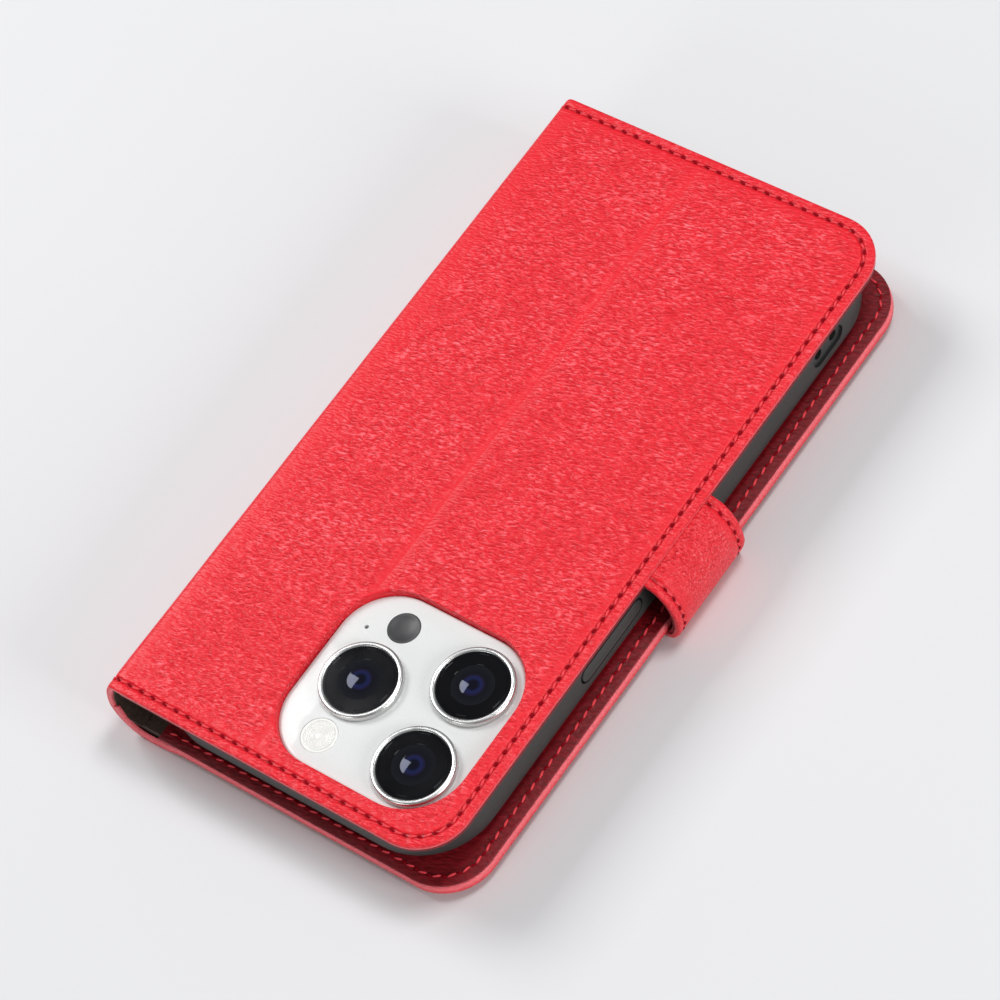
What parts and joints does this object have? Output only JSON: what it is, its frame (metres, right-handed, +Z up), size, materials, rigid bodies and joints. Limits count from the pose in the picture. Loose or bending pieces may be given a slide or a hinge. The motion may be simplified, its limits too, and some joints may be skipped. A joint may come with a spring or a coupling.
{
  "type": "phone wallet case",
  "caption": "Stitched leather wallet case holding a phone in a moulded shell, with a folding spine, card pockets and a magnetic strap.",
  "frame": {"origin": "on the surface that the closed case lies on, under the middle of its outer box", "axes": "+Z up out of the back panel with its camera window, +Y along the case from the camera end to the port end, +X from the spine to the strap"},
  "size_m": [0.0912, 0.1602, 0.0203],
  "materials": {
    "red_leather": "satin",
    "red_lining": "matte",
    "brown_lining": "matte",
    "thread": "matte",
    "board": "matte",
    "foam": "matte",
    "shell": "matte",
    "magnet": "satin",
    "phone_metal": "satin",
    "lens_metal": "polished",
    "phone_back": "satin",
    "black_glass": "polished",
    "sensor_glass": "polished",
    "flash_glass": "polished"
  },
  "bodies": {
    "back": {"back_leather": "red_leather", "back_board_flap": "board", "back_board_fixed": "board", "back_lining": "red_lining", "back_stitching": "thread", "phone_shell": "shell", "phone_frame": "phone_metal", "phone_back_glass": "phone_back", "phone_screen": "black_glass", "camera_plateau": "phone_back", "lens_ring_1": "lens_metal", "lens_ring_2": "lens_metal", "lens_ring_3": "lens_metal", "lens_glass_1": "black_glass", "lens_glass_2": "black_glass", "lens_glass_3": "black_glass", "depth_sensor": "sensor_glass", "flash_window": "flash_glass", "strap_root": "red_leather"},
    "spine": {"spine_leather": "red_leather", "spine_lining": "brown_lining"},
    "front_cover": {"cover_leather": "red_leather", "cover_padding": "foam", "cover_board": "board", "cover_catch_magnet": "magnet", "cover_lining": "brown_lining", "cover_stitching": "thread", "cash_pocket": "red_lining", "cash_pocket_stitching": "thread", "card_pocket_1": "red_lining", "card_pocket_2": "red_lining", "card_pocket_3": "red_lining", "card_pocket_stitching_near": "thread", "card_pocket_stitching_far": "thread"},
    "strap_side": {"strap_side_leather": "red_leather", "strap_side_lining": "red_lining", "strap_stitching_near": "thread", "strap_stitching_far": "thread"},
    "strap_tab": {"strap_tab_leather": "red_leather", "strap_tab_lining": "red_lining", "strap_magnet": "magnet", "strap_tab_stitching_near": "thread", "strap_tab_stitching_far": "thread"},
    "power_pad": {"power_button": "shell"},
    "power_switch": {"power_key": "phone_metal"},
    "action_pad": {"action_button": "shell"},
    "action_switch": {"action_key": "phone_metal"},
    "volume_up_pad": {"volume_up_button": "shell"},
    "volume_up_switch": {"volume_up_key": "phone_metal"},
    "volume_down_pad": {"volume_down_button": "shell"},
    "volume_down_switch": {"volume_down_key": "phone_metal"}
  },
  "joints": [
    {"name": "spine_fold", "type": "hinge", "parent": "back", "child": "spine", "pos_m": [-0.0416, 0, 0.02035], "axis": [0, 1, 0], "range_deg": [0, 180]},
    {"name": "cover_fold", "type": "hinge", "parent": "spine", "child": "front_cover", "pos_m": [-0.04325, 0, 0.0023], "axis": [0, 1, 0], "range_deg": [0, 180]},
    {"name": "strap_swing", "type": "hinge", "parent": "back", "child": "strap_side", "pos_m": [0.04007, 0, 0.01885], "axis": [0, -1, 0], "range_deg": [0, 110], "deforming": ["strap_side_leather", "strap_side_lining", "strap_stitching_near", "strap_stitching_far"]},
    {"name": "strap_tab_fold", "type": "hinge", "parent": "strap_side", "child": "strap_tab", "pos_m": [0.0443, 0, 0.0035], "axis": [0, -1, 0], "range_deg": [0, 66], "deforming": ["strap_tab_leather", "strap_tab_lining", "strap_magnet", "strap_tab_stitching_near", "strap_tab_stitching_far"]},
    {"name": "power_press", "type": "slide", "parent": "back", "child": "power_pad", "axis": [-1, 0, 0], "range_m": [0, 0.0003], "stiffness_N_per_m": 1500},
    {"name": "power_key_press", "type": "slide", "parent": "back", "child": "power_switch", "axis": [-1, 0, 0], "range_m": [0, 0.0003], "stiffness_N_per_m": 800},
    {"name": "action_press", "type": "slide", "parent": "back", "child": "action_pad", "axis": [1, 0, 0], "range_m": [0, 0.0003], "stiffness_N_per_m": 1500},
    {"name": "action_key_press", "type": "slide", "parent": "back", "child": "action_switch", "axis": [1, 0, 0], "range_m": [0, 0.0003], "stiffness_N_per_m": 800},
    {"name": "volume_up_press", "type": "slide", "parent": "back", "child": "volume_up_pad", "axis": [1, 0, 0], "range_m": [0, 0.0003], "stiffness_N_per_m": 1500},
    {"name": "volume_up_key_press", "type": "slide", "parent": "back", "child": "volume_up_switch", "axis": [1, 0, 0], "range_m": [0, 0.0003], "stiffness_N_per_m": 800},
    {"name": "volume_down_press", "type": "slide", "parent": "back", "child": "volume_down_pad", "axis": [1, 0, 0], "range_m": [0, 0.0003], "stiffness_N_per_m": 1500},
    {"name": "volume_down_key_press", "type": "slide", "parent": "back", "child": "volume_down_switch", "axis": [1, 0, 0], "range_m": [0, 0.0003], "stiffness_N_per_m": 800}
  ],
  "couplings": [
    {"joint": "strap_tab_fold", "follows": "strap_swing", "ratio": 0.6},
    {"joint": "power_key_press", "follows": "power_press", "ratio": 1},
    {"joint": "action_key_press", "follows": "action_press", "ratio": 1},
    {"joint": "volume_up_key_press", "follows": "volume_up_press", "ratio": 1},
    {"joint": "volume_down_key_press", "follows": "volume_down_press", "ratio": 1}
  ]
}
